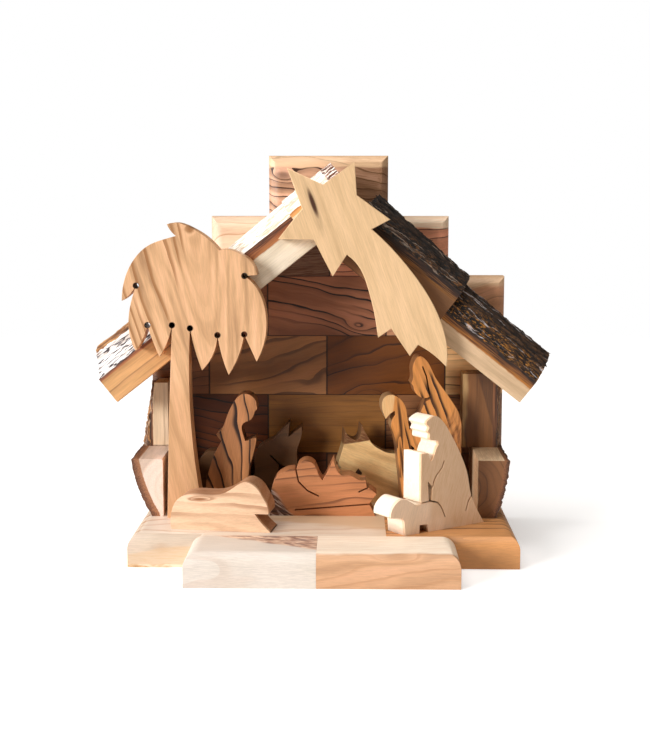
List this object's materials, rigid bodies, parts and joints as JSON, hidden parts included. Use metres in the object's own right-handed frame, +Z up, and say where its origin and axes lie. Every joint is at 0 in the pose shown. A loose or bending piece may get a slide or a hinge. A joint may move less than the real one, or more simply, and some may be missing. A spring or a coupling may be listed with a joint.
{
  "type": "wooden nativity stable",
  "caption": "Wooden nativity stable with a stepped brick-pattern back wall, bark-log roof and sides, a rounded base with a step, and glued flat cut-out palm, comet star, animals and figures.",
  "frame": {"origin": "middle of the wide base board's underside", "axes": "+X to the viewer's right along the wide base, +Y from the open front towards the back wall, +Z up"},
  "size_m": [0.1876, 0.111, 0.1579],
  "materials": {
    "base_boards": "sanded and lightly oiled olive wood",
    "comet_star": "sanded and lightly oiled olive wood",
    "donkey": "sanded and lightly oiled olive wood",
    "kneeling_figure": "sanded and lightly oiled olive wood",
    "lying_sheep": "sanded and lightly oiled olive wood",
    "manger_with_infant": "sanded and lightly oiled olive wood",
    "ox": "sanded and lightly oiled olive wood",
    "palm_tree": "sanded and lightly oiled olive wood",
    "roof_slabs": "bark-faced sawn log, lightly oiled",
    "shepherd_with_lamb": "sanded and lightly oiled olive wood",
    "side_logs": "bark-faced sawn log, lightly oiled",
    "standing_figure": "sanded and lightly oiled olive wood",
    "step_blocks": "sanded and lightly oiled olive wood",
    "wall_bricks": "sanded and lightly oiled olive wood"
  },
  "bodies": {
    "root": {"base_board_left": "base_boards", "base_board_right": "base_boards", "comet_star": "comet_star", "donkey": "donkey", "kneeling_figure": "kneeling_figure", "lying_sheep": "lying_sheep", "manger_with_infant": "manger_with_infant", "ox": "ox", "palm_tree": "palm_tree", "roof_ridge_block": "roof_slabs", "roof_slab_left_lower": "roof_slabs", "roof_slab_left_upper": "roof_slabs", "roof_slab_right_lower": "roof_slabs", "roof_slab_right_upper": "roof_slabs", "shepherd_with_lamb": "shepherd_with_lamb", "side_log_left_lower": "side_logs", "side_log_left_upper": "side_logs", "side_log_right_lower": "side_logs", "side_log_right_upper": "side_logs", "standing_figure": "standing_figure", "step_block_left": "step_blocks", "step_block_right": "step_blocks", "wall_brick_1_1": "wall_bricks", "wall_brick_2_1": "wall_bricks", "wall_brick_2_2": "wall_bricks", "wall_brick_3_1": "wall_bricks", "wall_brick_3_2": "wall_bricks", "wall_brick_3_3": "wall_bricks", "wall_brick_4_1": "wall_bricks", "wall_brick_4_2": "wall_bricks", "wall_brick_4_3": "wall_bricks", "wall_brick_4_4": "wall_bricks", "wall_brick_5_1": "wall_bricks", "wall_brick_5_2": "wall_bricks", "wall_brick_5_3": "wall_bricks", "wall_brick_6_1": "wall_bricks", "wall_brick_6_2": "wall_bricks", "wall_brick_6_3": "wall_bricks", "wall_brick_6_4": "wall_bricks"}
  },
  "joints": []
}
